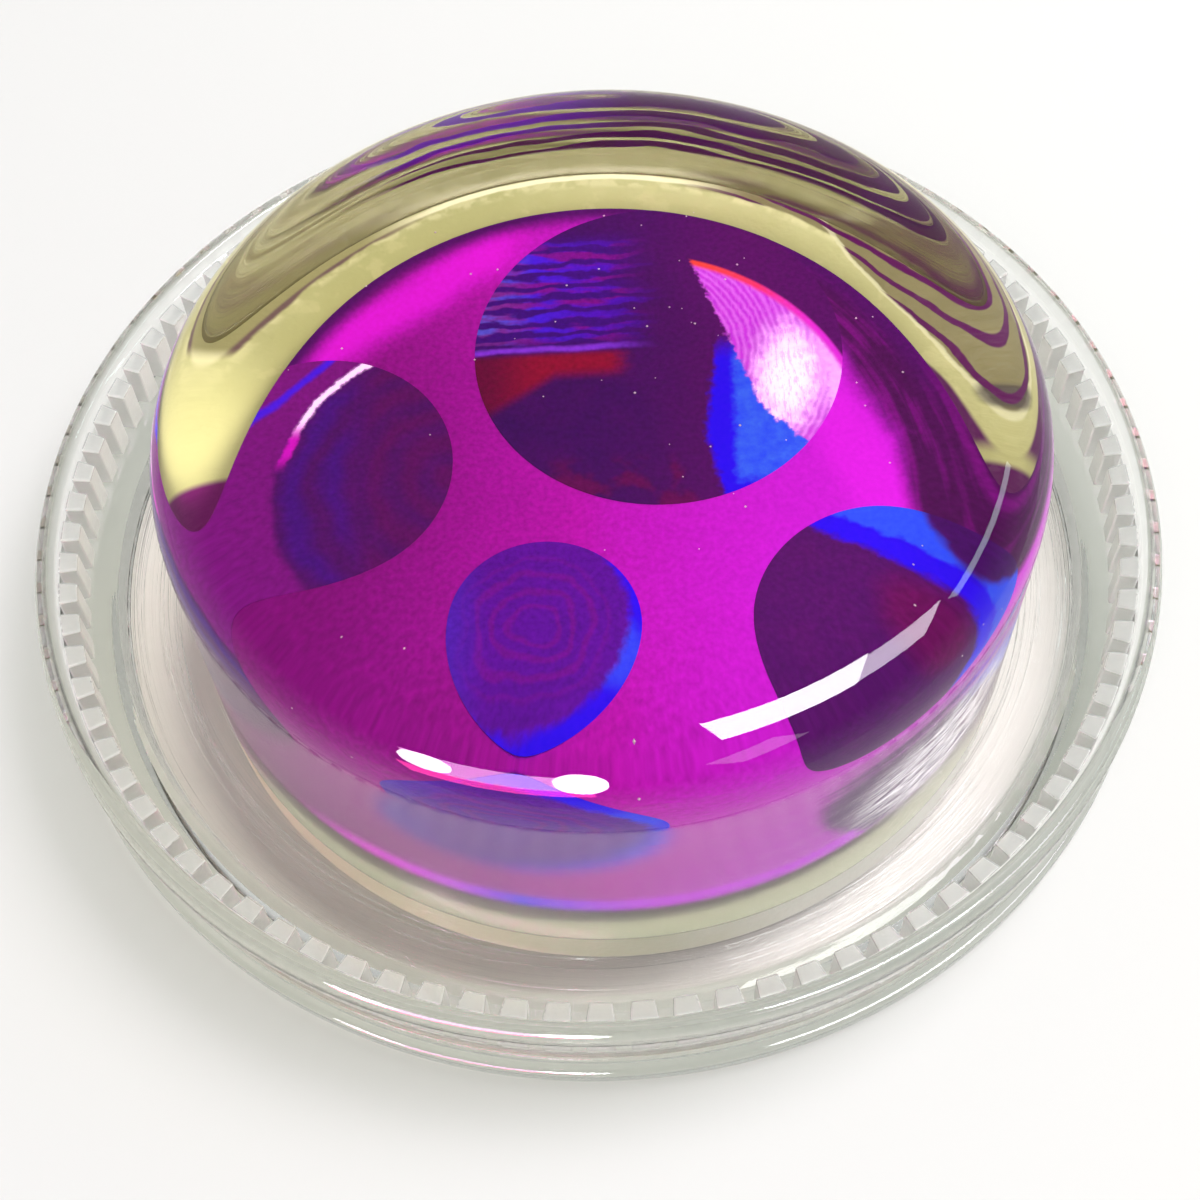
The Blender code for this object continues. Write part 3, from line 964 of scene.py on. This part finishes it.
def make_stage():
    """The floor, the grey surroundings and the lamps."""
    bpy.context.scene.view_settings.view_transform = "Standard"
    corners = [(-1, -1), (1, -1), (1, 1), (-1, 1)]
    floor = new_object("floor", [(x * FLOOR_HALF, y * FLOOR_HALF, 0.0) for x, y in corners], [(0, 1, 2, 3)])
    n = Nodes("paper_floor")
    floor.data.materials.append(n.finish(n.principled(Base_Color=(0.71, 0.71, 0.69), Roughness=0.8)))

    world = bpy.data.worlds.new("studio")
    bpy.context.scene.world = world
    world.use_nodes = True
    tree = world.node_tree
    place = tree.nodes.new("ShaderNodeTexCoord")
    split = tree.nodes.new("ShaderNodeSeparateXYZ")
    fade = tree.nodes.new("ShaderNodeValToRGB")
    tree.links.new(place.outputs["Generated"], split.inputs[0])
    tree.links.new(split.outputs["Z"], fade.inputs["Fac"])
    tree.links.new(fade.outputs["Color"], tree.nodes["Background"].inputs["Color"])
    fade.color_ramp.elements[0].position = 0.0
    fade.color_ramp.elements[0].color = (0.70, 0.71, 0.70, 1.0)
    fade.color_ramp.elements[1].position = 0.65
    fade.color_ramp.elements[1].color = (0.10, 0.10, 0.11, 1.0)
    tree.nodes["Background"].inputs["Strength"].default_value = 1.0

    # the soft light, from the back right and weakly from the front left
    strip_lamp("daylight", toward(5.0, 50.0, 0.9), toward(55.0, 50.0, 0.9), 0.45, 13.4, glint=False)
    strip_lamp("fill", toward(-130.0, 50.0, 0.9), toward(-90.0, 50.0, 0.9), 0.4, 5.4, glint=False)

    # the glints of a window on the right of the domed edge
    strip_lamp("window", (0.11, -0.09, 0.60), (0.31, -0.02, 0.60), 0.15, 24.0)
    strip_lamp("window_far", (0.31, -0.02, 0.60), (0.47, 0.035, 0.60), 0.13, 11.0, (0.95, 0.88, 1.0))
    strip_lamp("window_side", (0.53, 0.07, 0.60), (0.68, 0.40, 0.60), 0.06, 5.0, (0.75, 0.92, 0.95))
    strip_lamp("window_haze", (0.23, -0.48, 0.60), (0.33, -0.33, 0.60), 0.15, 2.5, (1.0, 0.8, 0.95))

    # the bar with two bright ends and a red fringe on the front of the domed edge
    panel = toward(-134.0, 33.0, 0.62), toward(-98.0, 42.0, 0.62)
    fringe = toward(-133.0, 19.0, 0.60), toward(-95.0, 29.0, 0.60)
    spot_left = toward(-134.0, 44.0, 0.58), toward(-129.0, 25.0, 0.58)
    spot_right = toward(-100.0, 56.0, 0.58), toward(-97.0, 29.0, 0.58)
    strip_lamp("front_panel", *panel, 0.20, 13.0, (1.0, 0.5, 1.0))
    strip_lamp("front_fringe", *fringe, 0.10, 18.0, (1.0, 0.05, 0.3))
    strip_lamp("front_spot_left", *spot_left, 0.10, 20.0, shape="ELLIPSE")
    strip_lamp("front_spot_right", *spot_right, 0.09, 24.0, shape="ELLIPSE")


def make_camera():
    data = bpy.data.cameras.new("camera")
    data.sensor_width = 36.0
    data.lens = 54.0
    data.clip_start = 0.005
    camera = bpy.data.objects.new("camera", data)
    bpy.context.scene.collection.objects.link(camera)
    elevation = math.radians(58.07)
    roll = math.radians(-3.09)
    turn = Matrix.Rotation(math.pi / 2 - elevation, 4, "X") @ Matrix.Rotation(roll, 4, "Z")
    camera.matrix_world = Matrix.Translation((0.0, -0.0652, 0.0993)) @ turn
    bpy.context.scene.camera = camera


make_camera()
make_stage()
make_puck()
make_base()
make_foil()
for dot in DOTS:
    make_dot(dot)
make_specks()
make_dish()
make_teeth()
